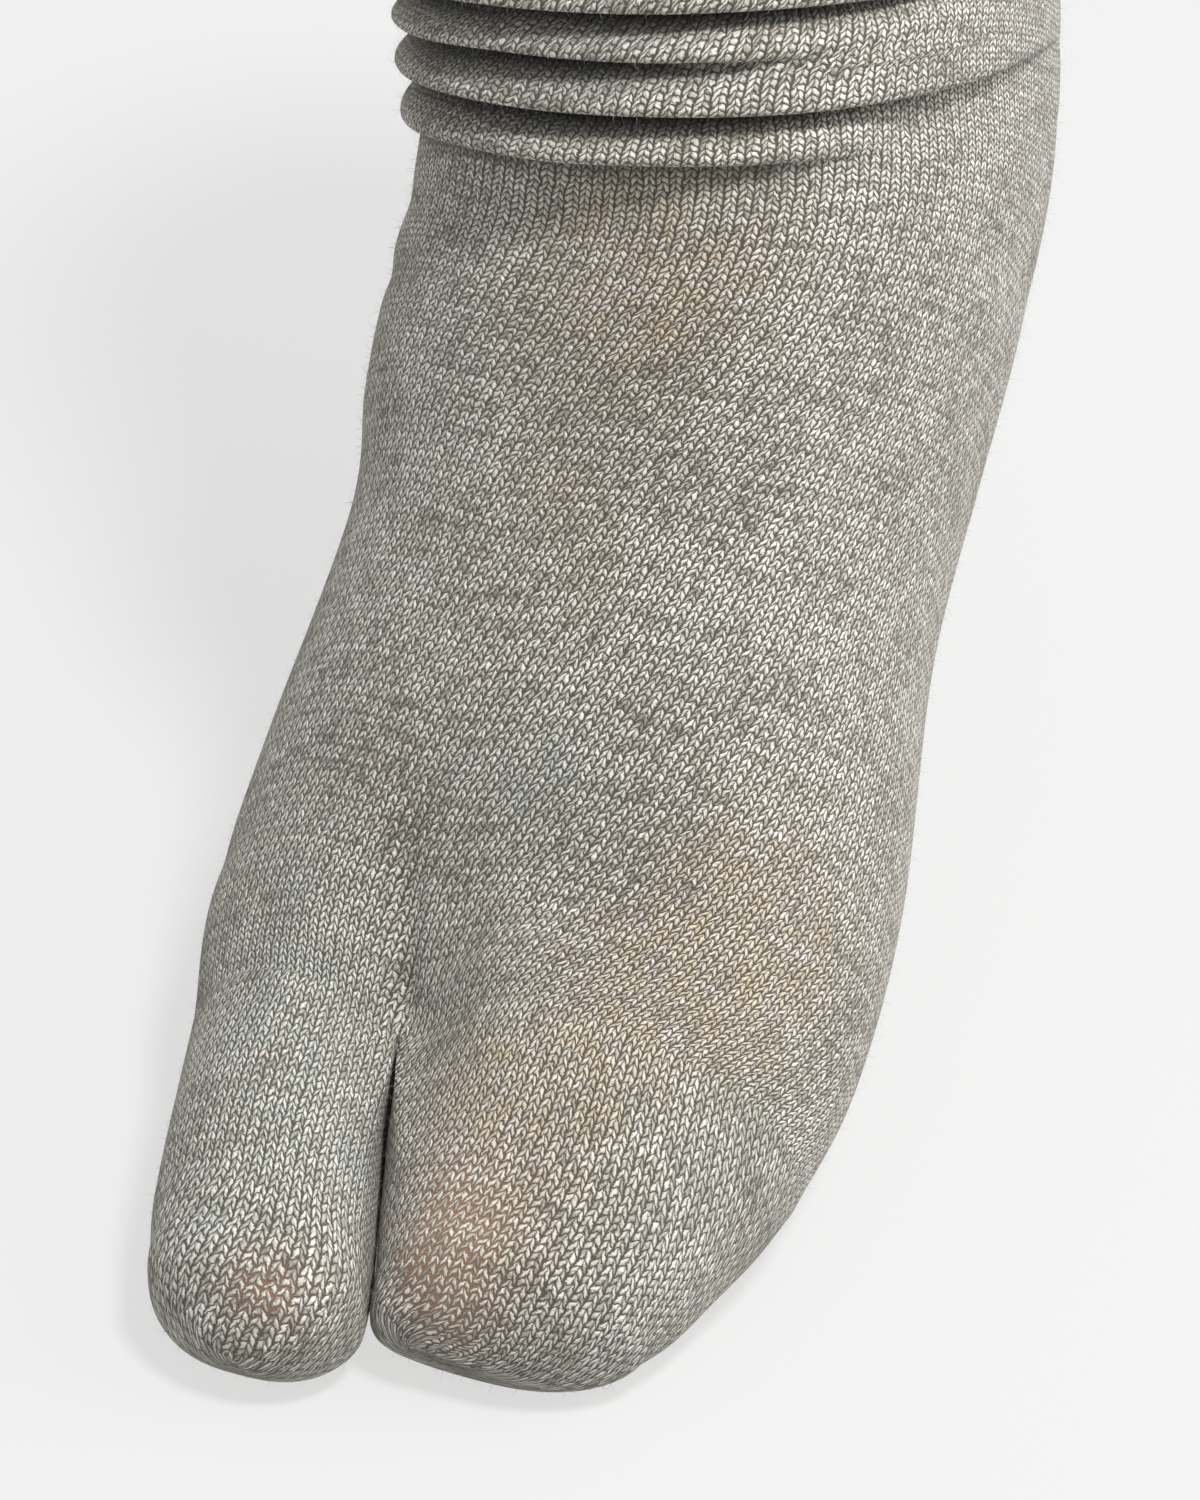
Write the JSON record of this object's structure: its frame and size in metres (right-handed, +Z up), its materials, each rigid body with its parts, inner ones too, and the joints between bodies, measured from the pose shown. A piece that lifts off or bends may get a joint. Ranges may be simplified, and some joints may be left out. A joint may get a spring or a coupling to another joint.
{
  "type": "split-toe sock",
  "caption": "Worn, hollow split-toe sock in fine heather jersey: ribbed cuff, leg slouched into rolls, raised heel, big toe apart.",
  "frame": {"origin": "the centre of the ankle, where the wearer's ankle fills the sock", "axes": "+Z up, the toes point along -Y, +X runs to the little-toe side"},
  "size_m": [0.1004, 0.2462, 0.2547],
  "materials": {
    "jersey": "fine heather grey jersey knit, matt, with a short fuzz",
    "rib_knit": "heather grey two-by-two rib knit, matt"
  },
  "bodies": {
    "root": {"cuff": "rib_knit", "leg": "jersey", "heel": "jersey", "foot": "jersey", "big_toe": "jersey", "toes": "jersey"}
  },
  "joints": []
}
